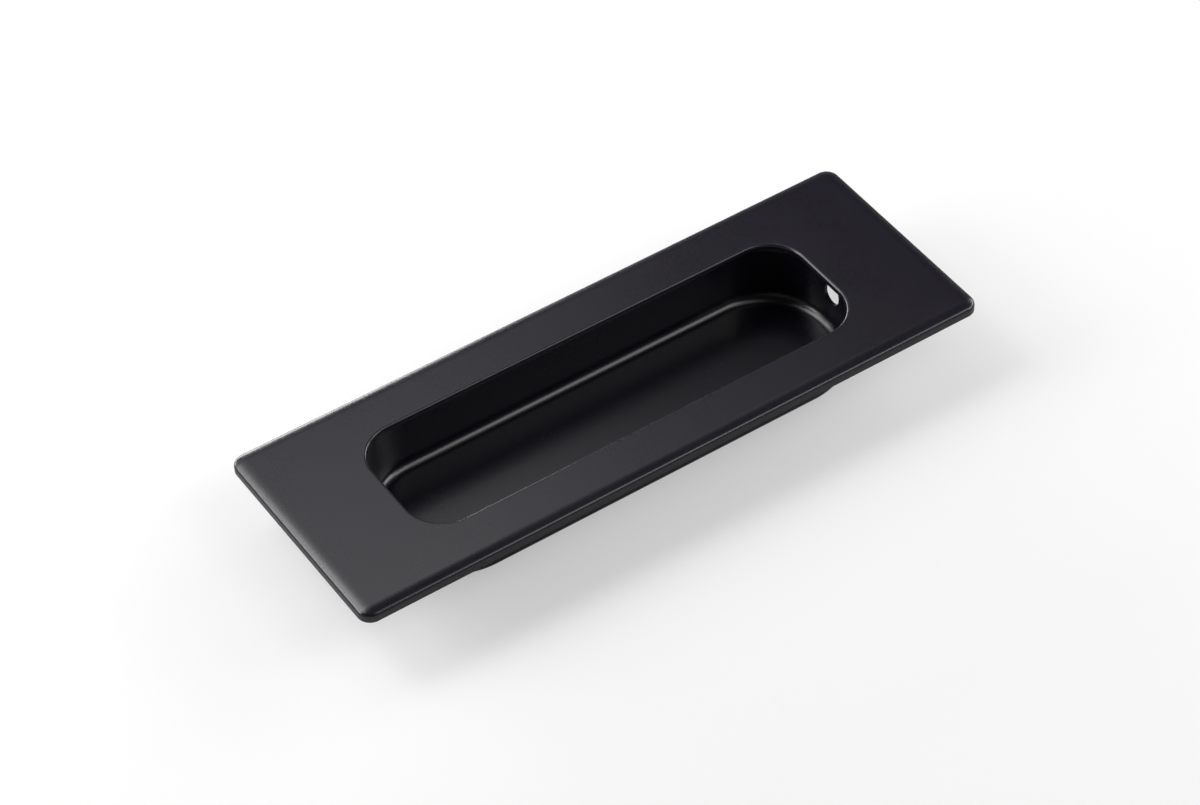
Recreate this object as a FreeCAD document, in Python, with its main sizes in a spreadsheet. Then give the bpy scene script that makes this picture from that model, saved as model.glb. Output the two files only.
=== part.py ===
# Pocket door pull: a flat plate with a rounded opening, and a thin drawn cup seated in its hollow back.
# Millimetres. +Z points out of the plate's face, X runs along the plate, z = 0 is the cup's flat base.
import FreeCAD
import Part
import math
import os
import Sketcher

doc = FreeCAD.newDocument("PocketDoorPull")

# Every size that can be set on its own: alias, value in mm, what it is.
SIZES = [
    ("plate_length", 150.0, "plate, end to end"),
    ("plate_width", 52.5, "plate, side to side"),
    ("plate_height", 2.75, "plate's edge, from the door's surface to the face"),
    ("plate_wall", 1.5, "plate's own thickness, behind its face and round its edge"),
    ("plate_corner_radius", 3.0, "plan radius of the plate's corners"),
    ("edge_fall_width", 2.0, "width of the soft fall round the plate's edge"),
    ("edge_fall_drop", 0.35, "how far the face drops over that width"),
    ("edge_fall_blend", 5.0, "radius that eases the flat face into the fall"),
    ("edge_radius", 0.7, "rounding between the fall and the plate's side"),
    ("back_edge_break", 0.25, "small bevel between the plate's side and its back"),
    ("opening_length", 106.2, "opening between the lips, end to end"),
    ("opening_width", 30.0, "opening between the lips, side to side"),
    ("opening_corner_radius", 8.7, "plan radius of the opening's corners"),
    ("rim_fall_width", 1.5, "width of the soft fall round the opening"),
    ("rim_fall_drop", 0.17, "how far the face drops over that width"),
    ("rim_fall_blend", 8.0, "radius that eases the flat face into the rim's fall"),
    ("rim_radius", 0.7, "rounding between the rim's fall and the lip"),
    ("lip_back_break", 0.2, "small bevel between the lip and the hollow's ceiling"),
    ("sheet_thickness", 0.7, "sheet that the cup is drawn from"),
    ("cup_length", 111.2, "inside of the cup at its floor, end to end"),
    ("cup_width", 33.6, "inside of the cup at its floor, side to side"),
    ("cup_end_straight", 1.4, "straight part of each end wall, between its two corner arcs"),
    ("cup_depth", 14.3, "flange's top to the cup's floor"),
    ("cup_draft", 5.0, "degrees that the cup's walls lean outward"),
    ("floor_radius", 2.1, "inside radius between the cup's walls and floor"),
    ("flange_bend_radius", 1.0, "outside radius where the wall turns into the flange"),
    ("flange_land", 3.5, "flat width of the flange past its bend, at the cup's ends"),
    ("flange_gap", 0.4, "gap between the flange's long sides and the sides of the plate's hollow"),
    ("screw_hole_diameter", 4.9, "screw hole in each end wall of the cup"),
    ("screw_hole_drop", 6.4, "flange's top down to the screw holes' centre line"),
]

sheet = doc.addObject("Spreadsheet::Sheet", "Sizes")
for row, (alias, value, note) in enumerate(SIZES, start=1):
    sheet.set("A%d" % row, alias)
    sheet.set("B%d" % row, str(value))
    sheet.set("C%d" % row, note)
    sheet.setAlias("B%d" % row, alias)
doc.recompute()
size = {alias: value for alias, value, note in SIZES}

# Heights and outlines that follow from the sizes, as formulas of the sheet's cells and as numbers.
# The flange's top and the ceiling of the plate's hollow back meet at the seat.
SEAT_HEIGHT = "Sizes.cup_depth + Sizes.sheet_thickness"
FACE_HEIGHT = SEAT_HEIGHT + " + Sizes.plate_wall"
BACK_HEIGHT = FACE_HEIGHT + " - Sizes.plate_height"
seat_height = size["cup_depth"] + size["sheet_thickness"]
face_height = seat_height + size["plate_wall"]
back_height = face_height - size["plate_height"]

# A leaning wall keeps the sheet's thickness when its outline at the base grows by this much.
BASE_GROWTH = "Sizes.sheet_thickness * tan(45deg - 0.5deg * Sizes.cup_draft)"
base_growth = size["sheet_thickness"] * math.tan(math.radians(45 - size["cup_draft"] / 2))
MOUTH_GROWTH = "Sizes.cup_depth * tan(1deg * Sizes.cup_draft)"
mouth_growth = size["cup_depth"] * math.tan(math.radians(size["cup_draft"]))
FLANGE_REACH = ("(" + MOUTH_GROWTH
                + " + Sizes.sheet_thickness + Sizes.flange_bend_radius + Sizes.flange_land)")
flange_reach = (mouth_growth + size["sheet_thickness"] + size["flange_bend_radius"]
                + size["flange_land"])
CUP_CORNER = "(Sizes.cup_width - Sizes.cup_end_straight) / 2"
cup_corner = (size["cup_width"] - size["cup_end_straight"]) / 2

# The flange's long sides fit between the sides of the plate's hollow, which centre the cup.
FLANGE_WIDTH = "(Sizes.plate_width - 2 * Sizes.plate_wall - 2 * Sizes.flange_gap)"
flange_width = size["plate_width"] - 2 * size["plate_wall"] - 2 * size["flange_gap"]
FLANGE_CORNER = "(" + FLANGE_WIDTH + " - Sizes.cup_end_straight) / 2"
flange_corner = (flange_width - size["cup_end_straight"]) / 2

# Two coordinates closer than this are taken as one when edges are picked.
SAME = 0.01


def newBody(label):
    body = doc.addObject("PartDesign::Body", label)
    body.Label = label
    return body


def originPlane(body, role):
    return next(item for item in body.Origin.OriginFeatures if item.Role == role)


def flatSketch(body, name, heightFormula):
    sketch = body.newObject("Sketcher::SketchObject", name)
    sketch.AttachmentSupport = [(originPlane(body, "XY_Plane"), "")]
    sketch.MapMode = "FlatFace"
    if heightFormula:
        sketch.setExpression("AttachmentOffset.Base.z", heightFormula)
    return sketch


def roundedOutline(sketch, length, width, radius, formulas):
    """A rectangle with rounded corners about the origin, sized by three formulas."""
    a = length / 2
    b = width / 2
    place = FreeCAD.Vector
    up = place(0, 0, 1)
    quarter = math.pi / 2
    sketch.addGeometry([
        Part.LineSegment(place(radius - a, -b, 0), place(a - radius, -b, 0)),
        Part.LineSegment(place(a, radius - b, 0), place(a, b - radius, 0)),
        Part.LineSegment(place(a - radius, b, 0), place(radius - a, b, 0)),
        Part.LineSegment(place(-a, b - radius, 0), place(-a, radius - b, 0)),
    ])
    centres = [(a - radius, radius - b), (a - radius, b - radius),
               (radius - a, b - radius), (radius - a, radius - b)]
    for turn, (x, y) in enumerate(centres):
        circle = Part.Circle(place(x, y, 0), up, radius)
        sketch.addGeometry(Part.ArcOfCircle(circle, (turn - 1) * quarter, turn * quarter))
    for side in range(4):
        corner = 4 + side
        following = (side + 1) % 4
        sketch.addConstraint(Sketcher.Constraint("Tangent", side, 2, corner, 1))
        sketch.addConstraint(Sketcher.Constraint("Tangent", corner, 2, following, 1))
    sketch.addConstraint(Sketcher.Constraint("Horizontal", 0))
    sketch.addConstraint(Sketcher.Constraint("Vertical", 1))
    sketch.addConstraint(Sketcher.Constraint("Horizontal", 2))
    sketch.addConstraint(Sketcher.Constraint("Vertical", 3))
    for corner in (5, 6, 7):
        sketch.addConstraint(Sketcher.Constraint("Equal", 4, corner))
    sketch.addConstraint(Sketcher.Constraint("Symmetric", 7, 3, 5, 3, -1, 1))
    named = [
        ("outlineLength", Sketcher.Constraint("DistanceX", 3, 2, 1, 1, length)),
        ("outlineWidth", Sketcher.Constraint("DistanceY", 0, 2, 2, 1, width)),
        ("outlineRadius", Sketcher.Constraint("Radius", 4, radius)),
    ]
    for (name, constraint), formula in zip(named, formulas):
        index = sketch.addConstraint(constraint)
        sketch.renameConstraint(index, name)
        sketch.setExpression("Constraints." + name, formula)


def edgesWhere(feature, test):
    """Names of the feature's edges that pass the test at five points along them."""
    doc.recompute()
    return ["Edge%d" % number for number, edge in enumerate(feature.Shape.Edges, start=1)
            if all(test(point) for point in sampled(edge))]


def sampled(edge):
    first, last = edge.ParameterRange
    return [edge.valueAt(first + (last - first) * part / 4) for part in range(5)]


def atHeight(height):
    return lambda point: abs(point.z - height) < SAME


def insideBox(halfLength, halfWidth):
    return lambda point: abs(point.x) < halfLength + SAME and abs(point.y) < halfWidth + SAME


def fillet(body, name, base, edges, formula):
    feature = body.newObject("PartDesign::Fillet", name)
    feature.Base = (base, edges)
    feature.setExpression("Radius", formula)
    doc.recompute()
    return feature


def bevel(body, name, base, edges, formula):
    feature = body.newObject("PartDesign::Chamfer", name)
    feature.Base = (base, edges)
    feature.setExpression("Size", formula)
    doc.recompute()
    return feature


def slope(body, name, base, edges, width, drop, sideFirst):
    """A shallow chamfer: width across the face and drop down the side."""
    feature = body.newObject("PartDesign::Chamfer", name)
    feature.Base = (base, edges)
    feature.ChamferType = "Two distances"
    feature.FlipDirection = sideFirst
    feature.setExpression("Size", width)
    feature.setExpression("Size2", drop)
    doc.recompute()
    return feature


# Face plate: one plate, hollow behind, its edge and its opening's rim eased by a fall and a rounding.
plate = newBody("face_plate")

plateOutline = flatSketch(plate, "PlateOutline", BACK_HEIGHT)
roundedOutline(plateOutline, size["plate_length"], size["plate_width"], size["plate_corner_radius"],
               ["Sizes.plate_length", "Sizes.plate_width", "Sizes.plate_corner_radius"])
plateSlab = plate.newObject("PartDesign::Pad", "PlateSlab")
plateSlab.Profile = plateOutline
plateSlab.setExpression("Length", "Sizes.plate_height")

openingOutline = flatSketch(plate, "OpeningOutline", FACE_HEIGHT)
roundedOutline(openingOutline, size["opening_length"], size["opening_width"],
               size["opening_corner_radius"],
               ["Sizes.opening_length", "Sizes.opening_width", "Sizes.opening_corner_radius"])
plateOpening = plate.newObject("PartDesign::Pocket", "PlateOpening")
plateOpening.Profile = openingOutline
plateOpening.Type = "ThroughAll"

nearOpening = insideBox(size["opening_length"] / 2 + size["rim_fall_width"],
                        size["opening_width"] / 2 + size["rim_fall_width"])


def rimEdges(feature, height):
    level = atHeight(height)
    return edgesWhere(feature, lambda point: level(point) and nearOpening(point))


def outerEdges(feature, height):
    level = atHeight(height)
    return edgesWhere(feature, lambda point: level(point) and not nearOpening(point))


edgeFall = slope(plate, "EdgeFall", plateOpening, outerEdges(plateOpening, face_height),
                 "Sizes.edge_fall_width", "Sizes.edge_fall_drop", True)
rimFall = slope(plate, "RimFall", edgeFall, rimEdges(edgeFall, face_height),
                "Sizes.rim_fall_width", "Sizes.rim_fall_drop", False)
edgeRound = fillet(plate, "EdgeRound", rimFall,
                   outerEdges(rimFall, face_height - size["edge_fall_drop"]), "Sizes.edge_radius")
rimRound = fillet(plate, "RimRound", edgeRound,
                  rimEdges(edgeRound, face_height - size["rim_fall_drop"]), "Sizes.rim_radius")
edgeBlend = fillet(plate, "EdgeBlend", rimRound, outerEdges(rimRound, face_height),
                   "Sizes.edge_fall_blend")
rimBlend = fillet(plate, "RimBlend", edgeBlend, rimEdges(edgeBlend, face_height),
                  "Sizes.rim_fall_blend")
backBreak = bevel(plate, "BackEdgeBreak", rimBlend, outerEdges(rimBlend, back_height),
                  "Sizes.back_edge_break")

hollowOutline = flatSketch(plate, "HollowOutline", BACK_HEIGHT)
roundedOutline(hollowOutline, size["plate_length"] - 2 * size["plate_wall"],
               size["plate_width"] - 2 * size["plate_wall"],
               size["plate_corner_radius"] - size["plate_wall"],
               ["Sizes.plate_length - 2 * Sizes.plate_wall", "Sizes.plate_width - 2 * Sizes.plate_wall",
                "Sizes.plate_corner_radius - Sizes.plate_wall"])
hollowBack = plate.newObject("PartDesign::Pocket", "HollowBack")
hollowBack.Profile = hollowOutline
hollowBack.Reversed = True
hollowBack.setExpression("Length", "Sizes.plate_height - Sizes.plate_wall")
lipBreak = bevel(plate, "LipBackBreak", hollowBack, rimEdges(hollowBack, seat_height),
                 "Sizes.lip_back_break")

# Pull cup: one thin sheet, wider than the opening all round, its flange seated in the hollow back.
cup = newBody("pull_cup")

cupOutline = flatSketch(cup, "CupOutline", "")
roundedOutline(cupOutline, size["cup_length"] + 2 * base_growth,
               size["cup_width"] + 2 * base_growth, cup_corner + base_growth,
               ["Sizes.cup_length + 2 * " + BASE_GROWTH, "Sizes.cup_width + 2 * " + BASE_GROWTH,
                CUP_CORNER + " + " + BASE_GROWTH])
cupBlock = cup.newObject("PartDesign::Pad", "CupBlock")
cupBlock.Profile = cupOutline
cupBlock.setExpression("Length", SEAT_HEIGHT)
cupBlock.setExpression("TaperAngle", "1deg * Sizes.cup_draft")

flangeOutline = flatSketch(cup, "FlangeOutline", "Sizes.cup_depth")
roundedOutline(flangeOutline, size["cup_length"] + 2 * flange_reach, flange_width, flange_corner,
               ["Sizes.cup_length + 2 * " + FLANGE_REACH, FLANGE_WIDTH, FLANGE_CORNER])
flange = cup.newObject("PartDesign::Pad", "Flange")
flange.Profile = flangeOutline
flange.setExpression("Length", "Sizes.sheet_thickness")

cavityOutline = flatSketch(cup, "CavityOutline", "Sizes.sheet_thickness")
roundedOutline(cavityOutline, size["cup_length"], size["cup_width"], cup_corner,
               ["Sizes.cup_length", "Sizes.cup_width", CUP_CORNER])
cavity = cup.newObject("PartDesign::Pocket", "Cavity")
cavity.Profile = cavityOutline
cavity.Reversed = True
cavity.setExpression("Length", "Sizes.cup_depth")
cavity.setExpression("TaperAngle", "1deg * Sizes.cup_draft")

# The sheet keeps one thickness round each bend, because both sides of a bend share one centre.
insideCup = insideBox(size["cup_length"] / 2 + mouth_growth, size["cup_width"] / 2 + mouth_growth)
floorLevel = atHeight(size["sheet_thickness"])
mouthLevel = atHeight(seat_height)
throatLevel = atHeight(size["cup_depth"])
outsideWall = insideBox(size["cup_length"] / 2 + mouth_growth + size["sheet_thickness"],
                        size["cup_width"] / 2 + mouth_growth + size["sheet_thickness"])
floorRound = fillet(cup, "FloorRound", cavity,
                    edgesWhere(cavity, lambda point: floorLevel(point) and insideCup(point)),
                    "Sizes.floor_radius")
baseRound = fillet(cup, "BaseRound", floorRound, edgesWhere(floorRound, atHeight(0)),
                   "Sizes.floor_radius + Sizes.sheet_thickness")
mouthRound = fillet(cup, "MouthRound", baseRound,
                    edgesWhere(baseRound, lambda point: mouthLevel(point) and insideCup(point)),
                    "Sizes.flange_bend_radius + Sizes.sheet_thickness")
throatRound = fillet(cup, "ThroatRound", mouthRound,
                     edgesWhere(mouthRound, lambda point: throatLevel(point) and outsideWall(point)),
                     "Sizes.flange_bend_radius")

# One drill line through both end walls.
holeSketch = cup.newObject("Sketcher::SketchObject", "ScrewHoleCircle")
holeSketch.AttachmentSupport = [(originPlane(cup, "YZ_Plane"), "")]
holeSketch.MapMode = "FlatFace"
holeHeight = seat_height - size["screw_hole_drop"]
holeSketch.addGeometry(Part.Circle(FreeCAD.Vector(0, holeHeight, 0), FreeCAD.Vector(0, 0, 1),
                                   size["screw_hole_diameter"] / 2))
holeSketch.addConstraint(Sketcher.Constraint("PointOnObject", 0, 3, -2))
heightIndex = holeSketch.addConstraint(
    Sketcher.Constraint("DistanceY", -1, 1, 0, 3, holeHeight))
holeSketch.renameConstraint(heightIndex, "holeHeight")
holeSketch.setExpression("Constraints.holeHeight", SEAT_HEIGHT + " - Sizes.screw_hole_drop")
diameterIndex = holeSketch.addConstraint(
    Sketcher.Constraint("Diameter", 0, size["screw_hole_diameter"]))
holeSketch.renameConstraint(diameterIndex, "holeDiameter")
holeSketch.setExpression("Constraints.holeDiameter", "Sizes.screw_hole_diameter")
screwHoles = cup.newObject("PartDesign::Pocket", "ScrewHoles")
screwHoles.Profile = holeSketch
screwHoles.Type = "ThroughAll"
screwHoles.SideType = "Symmetric"

doc.recompute()
for item in doc.Objects:
    if "Invalid" in item.State or "Error" in item.State:
        raise RuntimeError("feature failed: " + item.Name)
    if hasattr(item, "Shape") and item.TypeId.startswith("PartDesign"):
        if item.Shape.isNull() or not item.Shape.isValid():
            raise RuntimeError("bad shape: " + item.Name)

os.makedirs("parts", exist_ok=True)
for body in (plate, cup):
    body.Shape.exportStep("parts/" + body.Label + ".step")
    print(body.Label, "volume mm3", round(body.Shape.Volume, 1), body.Shape.BoundBox)
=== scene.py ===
import math

import bpy
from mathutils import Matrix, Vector


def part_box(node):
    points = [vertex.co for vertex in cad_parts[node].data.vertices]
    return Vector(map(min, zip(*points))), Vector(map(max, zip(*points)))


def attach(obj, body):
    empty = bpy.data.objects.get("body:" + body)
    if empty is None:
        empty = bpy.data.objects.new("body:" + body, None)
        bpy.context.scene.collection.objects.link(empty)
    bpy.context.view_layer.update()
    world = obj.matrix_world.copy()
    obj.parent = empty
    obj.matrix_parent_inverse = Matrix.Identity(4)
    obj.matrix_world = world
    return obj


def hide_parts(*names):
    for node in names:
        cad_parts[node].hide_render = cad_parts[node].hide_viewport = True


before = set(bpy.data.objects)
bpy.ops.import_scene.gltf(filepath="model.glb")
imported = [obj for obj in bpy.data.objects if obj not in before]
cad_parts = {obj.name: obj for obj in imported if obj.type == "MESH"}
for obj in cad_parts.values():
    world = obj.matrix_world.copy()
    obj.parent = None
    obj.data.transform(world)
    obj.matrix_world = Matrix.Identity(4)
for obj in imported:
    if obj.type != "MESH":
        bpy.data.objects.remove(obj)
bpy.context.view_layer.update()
plateLow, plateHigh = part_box("face_plate")
cupLow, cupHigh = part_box("pull_cup")
scene = bpy.context.scene
millimetre = 0.001
white = (1, 1, 1, 1)


# Node helpers

def addNode(tree, kind, **settings):
    node = tree.nodes.new(kind)
    for name, value in settings.items():
        setattr(node, name, value)
    return node


def link(tree, source, target):
    tree.links.new(source, target)


# Outlines and profiles, in millimetres

meshDetail = {
    "profileSupport": 0.08,  # from an arc's end to the point that holds it
    "outlineSupport": 0.4,
    "creaseRadius": 0.05,  # at edges that look sharp
    "creaseParts": 3,
}


def arcThrough(before, corner, after, radius, parts):
    # points that replace a sharp corner by an arc
    corner = Vector(corner)
    back = Vector(before) - corner
    ahead = Vector(after) - corner
    turn = math.pi - back.angle(ahead)
    reach = radius * math.tan(turn / 2)
    start = corner + back.normalized() * reach
    end = corner + ahead.normalized() * reach
    middle = back.normalized() + ahead.normalized()
    centre = corner + middle.normalized() * math.hypot(reach, radius)
    spread = start - centre
    swing = spread.angle_signed(end - centre)
    points = []
    for step in range(parts + 1):
        angle = -swing * step / parts
        points.append(Vector((
            centre.x + spread.x * math.cos(angle) - spread.y * math.sin(angle),
            centre.y + spread.x * math.sin(angle) + spread.y * math.cos(angle))))
    return points


# A path from (across, up, radius, parts) corners, with a support point beside each arc.
def roundedPath(corners, support, closed=False):
    count = len(corners)
    runs = []
    for index, (across, up, radius, parts) in enumerate(corners):
        if radius == 0:
            runs.append([Vector((across, up))])
            continue
        before = corners[index - 1][:2]
        after = corners[(index + 1) % count][:2]
        runs.append(arcThrough(before, (across, up), after, radius, parts))
    path = []
    last = count if closed else count - 1
    for index in range(last):
        run = runs[index]
        path.extend(run)
        gap = runs[(index + 1) % count][0] - run[-1]
        if gap.length > 3 * support:  # room for a point at both ends
            if len(run) > 1:
                path.append(run[-1] + gap.normalized() * support)
            if len(runs[(index + 1) % count]) > 1:
                path.append(run[-1] + gap - gap.normalized() * support)
    if not closed:
        path.extend(runs[-1])
    return path


# A face that falls ever steeper from the flat into a rounded edge, ending upright. It starts at
# minus its width across, and the edge's side is at 0.
def fallPath(top, width, slope, radius, parts):
    steepest = math.radians(slope)
    start = -radius * (1 - math.sin(steepest))
    run = width + start
    drop = run * math.tan(steepest) / 2
    path = []
    for step in range(parts):
        share = step / parts
        path.append(Vector((-width + run * share, top - drop * share * share)))
    centre = Vector((-radius, top - drop - radius * math.cos(steepest)))
    for step in range(parts + 1):
        angle = steepest + (math.pi / 2 - steepest) * step / parts
        path.append(centre + radius * Vector((math.sin(angle), math.cos(angle))))
    return path


def rectanglePath(length, width, radius, parts, support):
    a = length / 2
    b = width / 2
    corners = [(-a, -b), (a, -b), (a, b), (-a, b)]
    return roundedPath([(x, y, radius, parts) for x, y in corners], support, closed=True)


def curveHolder(name, paths, closed):
    # A sweep turns a section upside down, so an open path is drawn the other way up.
    curve = bpy.data.curves.new(name, "CURVE")
    curve.dimensions = "3D"
    lift = millimetre if closed else -millimetre
    for path in paths:
        spline = curve.splines.new("POLY")
        spline.points.add(len(path) - 1)
        for spot, point in zip(spline.points, path):
            spot.co = (point.x * millimetre, point.y * lift, 0, 1)
        spline.use_cyclic_u = closed
    holder = bpy.data.objects.new(name, curve)
    scene.collection.objects.link(holder)
    return holder


# Shell tree: profiles swept round outlines, with flat faces between their open ends

shellBuild = {
    "levelSlack": 0.1,  # millimetres off a flat's height that still count as on it
    "weldDistance": 0.01,  # millimetres
    "smoothBelow": 38,  # degrees between two faces that shade as one
    "drillSides": 64,
}
unusedFlat = -1.0  # metres: a height that no edge has, for a flat that a piece lacks


def shellTree(name, withHoles):
    tree = bpy.data.node_groups.new(name, "GeometryNodeTree")
    face = tree.interface
    for label in ("Outline", "Profile", "Second Outline", "Second Profile"):
        face.new_socket(name=label, in_out="INPUT", socket_type="NodeSocketObject")
    flats = ("Upper Top", "Upper Underside", "Lower Top", "Lower Underside")
    for label in flats + ("Hole Radius", "Hole Height", "Hole Length"):
        face.new_socket(name=label, in_out="INPUT", socket_type="NodeSocketFloat")
    face.new_socket(name="Coat", in_out="INPUT", socket_type="NodeSocketMaterial")
    face.new_socket(name="Geometry", in_out="OUTPUT", socket_type="NodeSocketGeometry")
    given = addNode(tree, "NodeGroupInput")
    result = addNode(tree, "NodeGroupOutput")
    joined = addNode(tree, "GeometryNodeJoinGeometry")

    for outline, profile in (("Outline", "Profile"), ("Second Outline", "Second Profile")):
        path = addNode(tree, "GeometryNodeObjectInfo")
        link(tree, given.outputs[outline], path.inputs["Object"])
        section = addNode(tree, "GeometryNodeObjectInfo")
        link(tree, given.outputs[profile], section.inputs["Object"])
        upright = addNode(tree, "GeometryNodeSetCurveNormal", mode="Z_UP")
        link(tree, path.outputs["Geometry"], upright.inputs["Curve"])
        sweep = addNode(tree, "GeometryNodeCurveToMesh")
        link(tree, upright.outputs["Curve"], sweep.inputs["Curve"])
        link(tree, section.outputs["Geometry"], sweep.inputs["Profile Curve"])
        link(tree, sweep.outputs["Mesh"], joined.inputs["Geometry"])

    neighbours = addNode(tree, "GeometryNodeInputMeshEdgeNeighbors")
    # An open end has one face beside it. Sockets 2 and 3 are the comparison's whole numbers.
    openEdge = addNode(tree, "FunctionNodeCompare", data_type="INT", operation="EQUAL")
    link(tree, neighbours.outputs["Face Count"], openEdge.inputs[2])
    openEdge.inputs[3].default_value = 1
    position = addNode(tree, "GeometryNodeInputPosition")
    split = addNode(tree, "ShaderNodeSeparateXYZ")
    link(tree, position.outputs[0], split.inputs[0])

    parts = [joined.outputs["Geometry"]]
    for height in flats:
        level = addNode(tree, "FunctionNodeCompare", data_type="FLOAT", operation="EQUAL")
        level.inputs["Epsilon"].default_value = shellBuild["levelSlack"] * millimetre
        link(tree, split.outputs["Z"], level.inputs[0])
        link(tree, given.outputs[height], level.inputs[1])
        chosen = addNode(tree, "FunctionNodeBooleanMath", operation="AND")
        link(tree, openEdge.outputs[0], chosen.inputs[0])
        link(tree, level.outputs[0], chosen.inputs[1])
        loop = addNode(tree, "GeometryNodeMeshToCurve")
        link(tree, joined.outputs["Geometry"], loop.inputs["Mesh"])
        link(tree, chosen.outputs[0], loop.inputs["Selection"])
        cover = addNode(tree, "GeometryNodeFillCurve")
        link(tree, loop.outputs["Curve"], cover.inputs["Curve"])
        lift = addNode(tree, "ShaderNodeCombineXYZ")
        link(tree, given.outputs[height], lift.inputs["Z"])
        moved = addNode(tree, "GeometryNodeTransform")
        link(tree, cover.outputs["Mesh"], moved.inputs["Geometry"])
        link(tree, lift.outputs[0], moved.inputs["Translation"])
        if height.endswith("Underside"):
            turned = addNode(tree, "GeometryNodeFlipFaces")
            link(tree, moved.outputs["Geometry"], turned.inputs["Mesh"])
            parts.append(turned.outputs["Mesh"])
        else:
            parts.append(moved.outputs["Geometry"])
    whole = addNode(tree, "GeometryNodeJoinGeometry")
    for part in parts:
        link(tree, part, whole.inputs["Geometry"])
    weld = addNode(tree, "GeometryNodeMergeByDistance")
    weld.inputs["Distance"].default_value = shellBuild["weldDistance"] * millimetre
    link(tree, whole.outputs["Geometry"], weld.inputs["Geometry"])
    shell = weld.outputs["Geometry"]

    if withHoles:
        drill = addNode(tree, "GeometryNodeMeshCylinder")
        drill.inputs["Vertices"].default_value = shellBuild["drillSides"]
        link(tree, given.outputs["Hole Radius"], drill.inputs["Radius"])
        link(tree, given.outputs["Hole Length"], drill.inputs["Depth"])
        spot = addNode(tree, "ShaderNodeCombineXYZ")
        link(tree, given.outputs["Hole Height"], spot.inputs["Z"])
        aimed = addNode(tree, "GeometryNodeTransform")
        aimed.inputs["Rotation"].default_value = (0, math.pi / 2, 0)
        link(tree, drill.outputs["Mesh"], aimed.inputs["Geometry"])
        link(tree, spot.outputs[0], aimed.inputs["Translation"])
        cut = addNode(tree, "GeometryNodeMeshBoolean", operation="DIFFERENCE", solver="EXACT")
        link(tree, shell, cut.inputs["Mesh 1"])
        link(tree, aimed.outputs["Geometry"], cut.inputs["Mesh 2"])
        shell = cut.outputs["Mesh"]

    angle = addNode(tree, "GeometryNodeInputMeshEdgeAngle")
    gentle = addNode(tree, "FunctionNodeCompare", data_type="FLOAT", operation="LESS_THAN")
    gentle.inputs[1].default_value = math.radians(shellBuild["smoothBelow"])
    link(tree, angle.outputs["Unsigned Angle"], gentle.inputs[0])
    smoothFaces = addNode(tree, "GeometryNodeSetShadeSmooth", domain="FACE")
    link(tree, shell, smoothFaces.inputs["Geometry"])
    smoothEdges = addNode(tree, "GeometryNodeSetShadeSmooth", domain="EDGE")
    link(tree, smoothFaces.outputs["Geometry"], smoothEdges.inputs["Geometry"])
    link(tree, gentle.outputs[0], smoothEdges.inputs["Shade Smooth"])
    real = addNode(tree, "GeometryNodeRealizeInstances")
    link(tree, smoothEdges.outputs["Geometry"], real.inputs["Geometry"])
    dressed = addNode(tree, "GeometryNodeSetMaterial")
    link(tree, real.outputs["Geometry"], dressed.inputs["Geometry"])
    link(tree, given.outputs["Coat"], dressed.inputs["Material"])
    link(tree, dressed.outputs["Geometry"], result.inputs["Geometry"])
    return tree


def shellPiece(name, tree, values, height):
    holder = bpy.data.objects.new(name, bpy.data.meshes.new(name))
    scene.collection.objects.link(holder)
    modifier = holder.modifiers.new("shape", "NODES")
    modifier.node_group = tree
    for item in tree.interface.items_tree:
        if item.in_out == "INPUT" and item.name in values:
            modifier[item.identifier] = values[item.name]
    layers = bpy.context.evaluated_depsgraph_get()
    layers.update()
    mesh = bpy.data.meshes.new_from_object(holder.evaluated_get(layers))
    holder.modifiers.remove(modifier)
    for vertex in mesh.vertices:
        vertex.co.z += height
    mesh.name = name
    holder.data = mesh
    for value in values.values():
        if isinstance(value, bpy.types.Object):
            bpy.data.objects.remove(value)
    return holder


# Floor, light and camera

floorLook = {
    "size": 6.0,  # metres, far past the view on every side
    "colour": (0.50, 0.50, 0.50, 1.0),
    "seenWhite": 0.41,  # added where the camera sees the floor, and lights nothing
}


def floorMaterial():
    material = bpy.data.materials.new("paleFloor")
    material.use_nodes = True
    tree = material.node_tree
    tree.nodes.clear()
    out = addNode(tree, "ShaderNodeOutputMaterial")
    diffuse = addNode(tree, "ShaderNodeBsdfDiffuse")
    diffuse.inputs["Color"].default_value = floorLook["colour"]
    lift = addNode(tree, "ShaderNodeEmission")
    lift.inputs["Color"].default_value = white
    path = addNode(tree, "ShaderNodeLightPath")
    strength = addNode(tree, "ShaderNodeMath", operation="MULTIPLY")
    strength.inputs[1].default_value = floorLook["seenWhite"]
    link(tree, path.outputs["Is Camera Ray"], strength.inputs[0])
    link(tree, strength.outputs[0], lift.inputs["Strength"])
    both = addNode(tree, "ShaderNodeAddShader")
    link(tree, diffuse.outputs[0], both.inputs[0])
    link(tree, lift.outputs[0], both.inputs[1])
    link(tree, both.outputs[0], out.inputs["Surface"])
    return material


def makeFloor():
    half = floorLook["size"] / 2
    mesh = bpy.data.meshes.new("floor")
    corners = [(-half, -half, 0), (half, -half, 0), (half, half, 0), (-half, half, 0)]
    mesh.from_pydata(corners, [], [(0, 1, 2, 3)])
    floor = bpy.data.objects.new("floor", mesh)
    scene.collection.objects.link(floor)
    mesh.materials.append(floorMaterial())


# A pale horizon all round, under a dark ceiling.
worldLook = {
    "horizon": 0.40,
    "ceiling": 0.04,
    "fade": (0.17, 0.36),  # heights, as sines, between which the one turns into the other
}


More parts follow.
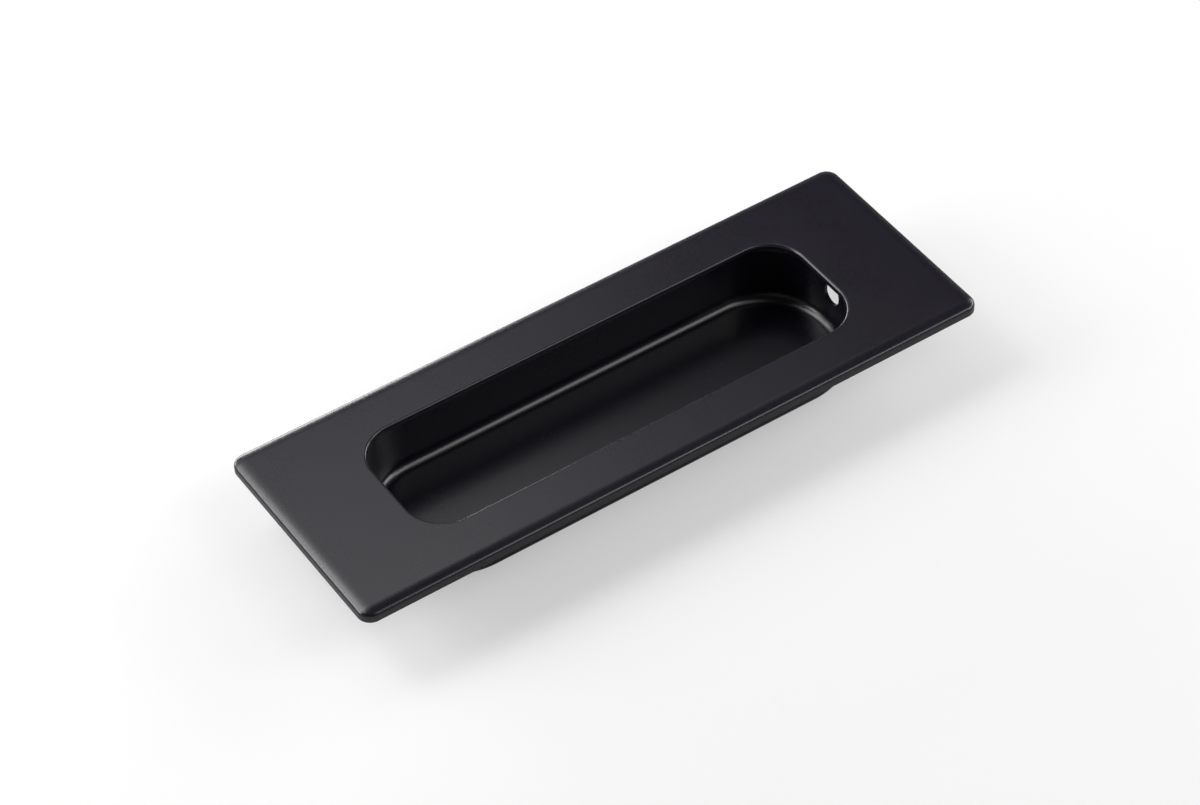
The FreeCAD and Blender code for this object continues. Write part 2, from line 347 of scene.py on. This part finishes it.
def makeWorld():
    world = bpy.data.worlds.new("studio")
    scene.world = world
    world.use_nodes = True
    tree = world.node_tree
    background = tree.nodes["Background"]
    background.inputs["Color"].default_value = white
    place = addNode(tree, "ShaderNodeTexCoord")
    split = addNode(tree, "ShaderNodeSeparateXYZ")
    link(tree, place.outputs["Generated"], split.inputs[0])
    fade = addNode(tree, "ShaderNodeMapRange", interpolation_type="SMOOTHSTEP")
    for index, value in enumerate(
            worldLook["fade"] + (worldLook["horizon"], worldLook["ceiling"]), start=1):
        fade.inputs[index].default_value = value
    link(tree, split.outputs["Z"], fade.inputs[0])
    link(tree, fade.outputs[0], background.inputs["Strength"])


# Soft boxes. Azimuth and elevation say where each stands from the pull, and its width and height
# are the angles it fills, in degrees. Strength is its brightness, where 1 is white.
lampDistance = 0.7  # metres
lampAim = Vector((0, 0, 0.01))  # the point that the boxes stand round, in metres
lamps = {
    "backBoxRight": {"azimuth": 46, "elevation": 56, "spread": (22, 14), "strength": 0.8},
    "backBoxLow": {"azimuth": 68, "elevation": 42, "spread": (22, 14), "strength": 0.47},
    "backBox": {"azimuth": 68, "elevation": 56, "spread": (22, 14), "strength": 1.85},
    "backBoxLeft": {"azimuth": 95, "elevation": 45, "spread": (30, 18), "strength": 0.85},
    "backTopBox": {"azimuth": 95, "elevation": 62, "spread": (30, 16), "strength": 2.0},
    "leftTopBox": {"azimuth": 130, "elevation": 52, "spread": (40, 24), "strength": 6.2},
    "leftBackBox": {"azimuth": 122, "elevation": 26, "spread": (30, 24), "strength": 2.5},
    "leftBox": {"azimuth": 152, "elevation": 26, "spread": (30, 24), "strength": 8.4},
    "backStrip": {"azimuth": 95, "elevation": 8, "spread": (50, 12), "strength": 11.5},
    "rightStrip": {"azimuth": 3, "elevation": 20, "spread": (36, 20), "strength": 6.2},
    "frontRightBox": {"azimuth": 326, "elevation": 28, "spread": (22, 20), "strength": 6.0},
    "frontBox": {"azimuth": 306, "elevation": 48, "spread": (40, 20), "strength": 3.2},
    "frontTopBox": {"azimuth": 290, "elevation": 66, "spread": (60, 20), "strength": 0.9},
}


def makeLamps():
    for name, lamp in lamps.items():
        azimuth = math.radians(lamp["azimuth"])
        elevation = math.radians(lamp["elevation"])
        flat = math.cos(elevation)
        away = Vector((flat * math.cos(azimuth), flat * math.sin(azimuth), math.sin(elevation)))
        light = bpy.data.lights.new(name, "AREA")
        light.shape = "RECTANGLE"
        across, tall = lamp["spread"]
        light.size = lampDistance * flat * math.radians(across)
        light.size_y = lampDistance * math.radians(tall)
        light.energy = math.pi * light.size * light.size_y * lamp["strength"]
        holder = bpy.data.objects.new(name, light)
        scene.collection.objects.link(holder)
        holder.location = away * lampDistance + lampAim
        holder.rotation_euler = away.to_track_quat("Z", "Y").to_euler()
        holder.visible_camera = False


# The photograph's viewpoint, fitted to the plate's corners.
viewpoint = {
    "azimuth": -32.520,  # degrees round from straight in front
    "elevation": 45.537,
    "roll": -2.236,
    "distance": 0.75738,  # metres
    "right": -0.00219,  # where the view's middle lies, from the plate's centre
    "up": -0.00426,
    "height": 0.01565,
    "lens": 111.33,  # millimetres, as the sensor
    "sensor": 36,
    "nearest": 0.01,  # metres
}


def makeCamera():
    azimuth = math.radians(viewpoint["azimuth"])
    elevation = math.radians(viewpoint["elevation"])
    roll = math.radians(viewpoint["roll"])
    back = Vector((math.sin(azimuth) * math.cos(elevation),
                   -math.cos(azimuth) * math.cos(elevation), math.sin(elevation)))
    level = Vector((math.cos(azimuth), math.sin(azimuth), 0))
    upright = back.cross(level)
    right = math.cos(roll) * level + math.sin(roll) * upright
    up = -math.sin(roll) * level + math.cos(roll) * upright
    place = (back * viewpoint["distance"] + right * viewpoint["right"] + up * viewpoint["up"]
             + Vector((0, 0, viewpoint["height"])))
    data = bpy.data.cameras.new("camera")
    data.sensor_width = viewpoint["sensor"]
    data.lens = viewpoint["lens"]
    data.clip_start = viewpoint["nearest"]
    camera = bpy.data.objects.new("camera", data)
    scene.collection.objects.link(camera)
    turn = camera.matrix_world.copy()
    for row in range(3):
        turn[row][0] = right[row]
        turn[row][1] = up[row]
        turn[row][2] = back[row]
        turn[row][3] = place[row]
    camera.matrix_world = turn
    scene.camera = camera


# Black powder coat. Its pattern is the same on both pieces, and its values are each piece's own,
# except that the cup's colours are made darker than the plate's as painted shade for its recess.
# A span turns (from low, from high) into (to low, to high).

coatPattern = {
    "clouds": (3.0, 0.55),  # detail and roughness of the noise
    "grain": (2.0, 0.6),
    "speckSpan": (0.03, 0.16, 1.0, 0.0),  # by the distance from a speck's middle
    "chanceSpan": (0.80, 0.82, 0.0, 1.0),  # which cells hold a speck
    "leavingSpan": (0.12, 0.45, 0.0, 1.0),  # by how far up the surface faces
    "reachingSpan": (0.90, 0.985, 1.0, 0.0),
    "patchSpan": (0.40, 0.62, 0.15, 1.0),  # where an edge is rubbed
    "cloudSpan": (0.25, 0.75, 0.86, 1.14),  # lighter and darker clouds
    "mottleSpan": (0.3, 0.7, 0.93, 1.07),
    "noiseMiddle": 0.5,
    "grainShare": 0.6,  # of the grain in the roughness, beside the clouds
    "speckHeight": 0.8,  # beside the grain's height
}


def coatGroup():
    tree = bpy.data.node_groups.new("powderCoat", "ShaderNodeTree")
    face = tree.interface
    for label in ("Colour", "Worn Colour"):
        face.new_socket(name=label, in_out="INPUT", socket_type="NodeSocketColor")
    for label in ("Roughness", "Worn Roughness", "Unevenness", "Cloud Scale", "Grain Scale",
                  "Speck Scale", "Wear"):
        face.new_socket(name=label, in_out="INPUT", socket_type="NodeSocketFloat")
    face.new_socket(name="Colour", in_out="OUTPUT", socket_type="NodeSocketColor")
    for label in ("Roughness", "Height"):
        face.new_socket(name=label, in_out="OUTPUT", socket_type="NodeSocketFloat")
    given = addNode(tree, "NodeGroupInput")
    result = addNode(tree, "NodeGroupOutput")
    place = addNode(tree, "ShaderNodeTexCoord")

    def noise(scale, detail, roughness):
        node = addNode(tree, "ShaderNodeTexNoise")
        node.inputs["Detail"].default_value = detail
        node.inputs["Roughness"].default_value = roughness
        link(tree, place.outputs["Object"], node.inputs["Vector"])
        link(tree, given.outputs[scale], node.inputs["Scale"])
        return node.outputs[0]

    def sloped(source, span, blend="SMOOTHSTEP"):
        node = addNode(tree, "ShaderNodeMapRange", interpolation_type=blend)
        for index, value in enumerate(coatPattern[span], start=1):
            node.inputs[index].default_value = value
        link(tree, source, node.inputs[0])
        return node.outputs[0]

    def together(operation, first, second):
        node = addNode(tree, "ShaderNodeMath", operation=operation)
        for socket, value in zip(node.inputs, (first, second)):
            if isinstance(value, float):
                socket.default_value = value
            else:
                link(tree, value, socket)
        return node.outputs[0]

    clouds = noise("Cloud Scale", *coatPattern["clouds"])
    grain = noise("Grain Scale", *coatPattern["grain"])
    specks = addNode(tree, "ShaderNodeTexVoronoi")
    link(tree, place.outputs["Object"], specks.inputs["Vector"])
    link(tree, given.outputs["Speck Scale"], specks.inputs["Scale"])
    speck = sloped(specks.outputs["Distance"], "speckSpan")
    chance = sloped(specks.outputs["Color"], "chanceSpan")
    nib = together("MULTIPLY", speck, chance)

    # Rounded edges and bends are where the surface faces neither straight up nor sideways.
    facing = addNode(tree, "ShaderNodeSeparateXYZ")
    link(tree, place.outputs["Normal"], facing.inputs[0])
    upward = together("ABSOLUTE", facing.outputs["Z"], 0.0)
    leaving = sloped(upward, "leavingSpan")
    reaching = sloped(upward, "reachingSpan")
    bend = together("MULTIPLY", leaving, reaching)
    patchy = sloped(clouds, "patchSpan")
    rubbed = together("MULTIPLY", bend, patchy)
    worn = together("MULTIPLY", rubbed, given.outputs["Wear"])

    shade = sloped(clouds, "cloudSpan", "LINEAR")
    mottle = sloped(grain, "mottleSpan")
    tone = together("MULTIPLY", shade, mottle)
    tinted = addNode(tree, "ShaderNodeVectorMath", operation="SCALE")
    link(tree, given.outputs["Colour"], tinted.inputs[0])
    link(tree, tone, tinted.inputs["Scale"])
    colour = addNode(tree, "ShaderNodeMix", data_type="RGBA")
    link(tree, worn, colour.inputs["Factor"])
    link(tree, tinted.outputs[0], colour.inputs["A"])
    link(tree, given.outputs["Worn Colour"], colour.inputs["B"])
    link(tree, colour.outputs["Result"], result.inputs["Colour"])

    broad = together("SUBTRACT", clouds, coatPattern["noiseMiddle"])
    fine = together("SUBTRACT", grain, coatPattern["noiseMiddle"])
    finePart = together("MULTIPLY", fine, coatPattern["grainShare"])
    swing = together("ADD", broad, finePart)
    drift = together("MULTIPLY", swing, given.outputs["Unevenness"])
    uneven = together("ADD", given.outputs["Roughness"], drift)
    polish = addNode(tree, "ShaderNodeMix", data_type="FLOAT")
    link(tree, worn, polish.inputs["Factor"])
    link(tree, uneven, polish.inputs["A"])
    link(tree, given.outputs["Worn Roughness"], polish.inputs["B"])
    link(tree, polish.outputs["Result"], result.inputs["Roughness"])

    lumps = together("MULTIPLY", nib, coatPattern["speckHeight"])
    height = together("ADD", grain, lumps)
    link(tree, height, result.inputs["Height"])
    return tree


def coatMaterial(name, group, coat):
    material = bpy.data.materials.new(name)
    material.use_nodes = True
    tree = material.node_tree
    bsdf = tree.nodes["Principled BSDF"]
    bsdf.inputs["IOR"].default_value = coat["indexOfRefraction"]
    skin = addNode(tree, "ShaderNodeGroup", node_tree=group)
    # A pattern's size in millimetres becomes a scale per metre.
    for label, value in (
            ("Colour", coat["colour"]), ("Worn Colour", coat["wornColour"]),
            ("Roughness", coat["roughness"]), ("Worn Roughness", coat["wornRoughness"]),
            ("Unevenness", coat["unevenness"]), ("Cloud Scale", 1000 / coat["cloudSize"]),
            ("Grain Scale", 1000 / coat["grainSize"]), ("Speck Scale", 1000 / coat["speckSpacing"]),
            ("Wear", coat["wear"])):
        skin.inputs[label].default_value = value
    bump = addNode(tree, "ShaderNodeBump")
    bump.inputs["Distance"].default_value = coat["grainDepth"] * millimetre
    link(tree, skin.outputs["Height"], bump.inputs["Height"])
    link(tree, skin.outputs["Colour"], bsdf.inputs["Base Color"])
    link(tree, skin.outputs["Roughness"], bsdf.inputs["Roughness"])
    link(tree, bump.outputs["Normal"], bsdf.inputs["Normal"])
    return material


# Face plate

plateCoat = {
    "colour": (0.0066, 0.0054, 0.0104, 1.0),
    "wornColour": (0.010, 0.009, 0.012, 1.0),
    "roughness": 0.28,
    "wornRoughness": 0.24,
    "unevenness": 0.06,
    "cloudSize": 22.0,  # millimetres, as the sizes below
    "grainSize": 1.4,
    "grainDepth": 0.006,
    "speckSpacing": 7.0,
    "wear": 0.7,
    "indexOfRefraction": 1.55,
}
plateShape = {
    "wall": 1.5,  # millimetres, as all sizes here
    "cornerRadius": 3.0,
    "fallWidth": 2.9,
    "fallSlope": 20.0,  # degrees, where the fall meets the rounding
    "edgeRadius": 0.9,
    "backBevel": 0.25,
    "openingLength": 106.2,
    "openingWidth": 30.0,
    "openingRadius": 8.7,
    "rimWidth": 0.7,
    "rimSlope": 6.0,
    "rimRadius": 0.55,
    "lipBevel": 0.2,
    "lipUpright": 0.5,  # of the lip's side, above its underside
    "bevelSoftness": 0.1,
    "hollowFlat": 2.6,  # from the plate's side to where its swept section ends
    "lipFlat": 1.2,  # from the lip's side to where its swept section ends
    "fallParts": 12,
    "rimParts": 10,
    "cornerParts": 20,
    "openingParts": 32,
}


def makePlate(finish):
    shape = plateShape
    size = (plateHigh - plateLow) / millimetre
    top = size.z
    wall = shape["wall"]
    ceiling = top - wall
    bevel = (shape["bevelSoftness"], meshDetail["creaseParts"])
    crease = (meshDetail["creaseRadius"], meshDetail["creaseParts"])
    profileSupport = meshDetail["profileSupport"]
    outlineSupport = meshDetail["outlineSupport"]
    edgeFall = fallPath(top, shape["fallWidth"], shape["fallSlope"], shape["edgeRadius"],
                        shape["fallParts"])
    edge = edgeFall + roundedPath([
        (0, top / 2, 0, 0),
        (0, shape["backBevel"], *bevel),
        (-shape["backBevel"], 0, *bevel),
        (-wall, 0, *crease),
        (-wall, ceiling, *crease),
        (-shape["hollowFlat"], ceiling, 0, 0)], profileSupport)
    rimFall = fallPath(top, shape["rimWidth"], shape["rimSlope"], shape["rimRadius"],
                       shape["rimParts"])
    rim = [Vector((-point.x, point.y)) for point in rimFall] + roundedPath([
        (0, ceiling + shape["lipUpright"], 0, 0),
        (0, ceiling + shape["lipBevel"], *bevel),
        (shape["lipBevel"], ceiling, *bevel),
        (shape["lipFlat"], ceiling, 0, 0)], profileSupport)
    outer = rectanglePath(size.x, size.y, shape["cornerRadius"], shape["cornerParts"],
                          outlineSupport)
    opening = rectanglePath(shape["openingLength"], shape["openingWidth"],
                            shape["openingRadius"], shape["openingParts"], outlineSupport)
    return shellPiece("facePlate", shellTree("plateShell", False), {
        "Outline": curveHolder("plateOutline", [outer], True),
        "Profile": curveHolder("edgeProfile", [edge], False),
        "Second Outline": curveHolder("openingOutline", [opening], True),
        "Second Profile": curveHolder("rimProfile", [rim], False),
        "Upper Top": top * millimetre,
        "Upper Underside": ceiling * millimetre,
        "Lower Top": unusedFlat,
        "Lower Underside": unusedFlat,
        "Coat": finish,
    }, plateLow.z)


# Pull cup

cupCoatWithPaintedShade = {
    # Colour and worn colour are the plate's same black coat made darker: painted shade for the
    # recess under the plate.
    "colour": (0.0036, 0.0030, 0.0068, 1.0),
    "wornColour": (0.006, 0.005, 0.008, 1.0),
    "roughness": 0.26,
    "wornRoughness": 0.24,
    "unevenness": 0.06,
    "cloudSize": 17.0,
    "grainSize": 1.2,
    "grainDepth": 0.005,
    "speckSpacing": 5.0,
    "wear": 0.5,
    "indexOfRefraction": 1.55,
}
cupShape = {
    "sheet": 0.7,
    "width": 33.6,  # inside, at the floor
    "draft": 5.0,  # degrees that the walls lean outward
    "endStraight": 1.4,  # straight part of each end wall
    "floorRadius": 2.5,
    "bendRadius": 1.0,
    "flangeLand": 3.5,  # past the bend, at the cup's ends
    "holeDiameter": 4.9,
    "holeDrop": 6.4,  # from the flange's top to the hole's middle
    "drillPast": 20,  # how much longer the drill is than the cup
    "floorFlat": 4,  # from the wall to where the swept sections end on the floor
    "landFlat": 0.4,  # what each swept section keeps of the flange
    "floorParts": 14,
    "bendParts": 12,
    "endParts": 48,
}


def makeCup(finish):
    shape = cupShape
    sheet = shape["sheet"]
    size = (cupHigh - cupLow) / millimetre
    height = size.z
    lean = math.tan(math.radians(shape["draft"]))
    depth = height - sheet
    base = sheet * math.tan(math.radians(45 - shape["draft"] / 2))
    reach = depth * lean + sheet + shape["bendRadius"] + shape["flangeLand"]
    length = size.x - 2 * reach
    width = shape["width"]
    landStart = reach - shape["flangeLand"] + shape["landFlat"]
    crease = (meshDetail["creaseRadius"], meshDetail["creaseParts"])
    profileSupport = meshDetail["profileSupport"]
    outlineSupport = meshDetail["outlineSupport"]
    inside = roundedPath([
        (-shape["floorFlat"], sheet, 0, 0),
        (0, sheet, shape["floorRadius"], shape["floorParts"]),
        (depth * lean, height, shape["bendRadius"] + sheet, shape["bendParts"]),
        (landStart, height, 0, 0)], profileSupport)
    outside = roundedPath([
        (landStart, depth, 0, 0),
        (base + depth * lean, depth, shape["bendRadius"], shape["bendParts"]),
        (base, 0, shape["floorRadius"] + sheet, shape["floorParts"]),
        (-shape["floorFlat"], 0, 0, 0)], profileSupport)
    edge = roundedPath([
        (-shape["landFlat"], height, 0, 0),
        (0, height, *crease),
        (0, depth, *crease),
        (-shape["landFlat"], depth, 0, 0)], profileSupport)
    straight = shape["endStraight"]
    walls = rectanglePath(length, width, (width - straight) / 2, shape["endParts"],
                          outlineSupport)
    flange = rectanglePath(size.x, size.y, (size.y - straight) / 2, shape["endParts"],
                           outlineSupport)
    return shellPiece("pullCup", shellTree("cupShell", True), {
        "Outline": curveHolder("cupOutline", [walls], True),
        "Profile": curveHolder("cupSection", [inside, outside], False),
        "Second Outline": curveHolder("flangeOutline", [flange], True),
        "Second Profile": curveHolder("flangeEdge", [edge], False),
        "Upper Top": height * millimetre,
        "Upper Underside": depth * millimetre,
        "Lower Top": sheet * millimetre,
        "Lower Underside": 0.0,
        "Hole Radius": shape["holeDiameter"] / 2 * millimetre,
        "Hole Height": (height - shape["holeDrop"]) * millimetre,
        "Hole Length": (size.x + shape["drillPast"]) * millimetre,
        "Coat": finish,
    }, cupLow.z)


scene.view_settings.view_transform = "Standard"
makeFloor()
makeWorld()
makeLamps()
makeCamera()
print("stage ready")
skin = coatGroup()
plateFinish = coatMaterial("blackCoatPlate", skin, plateCoat)
cupFinishWithPaintedShade = coatMaterial("blackCoatCupWithPaintedShade", skin, cupCoatWithPaintedShade)
print("coats ready")
plate = makePlate(plateFinish)
print("plate", len(plate.data.polygons))
cup = makeCup(cupFinishWithPaintedShade)
print("cup", len(cup.data.polygons))
for piece, node, finish in ((plate, "face_plate", plateFinish), (cup, "pull_cup", cupFinishWithPaintedShade)):
    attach(piece, "root")
    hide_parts(node)
    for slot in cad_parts[node].material_slots:
        slot.material = finish
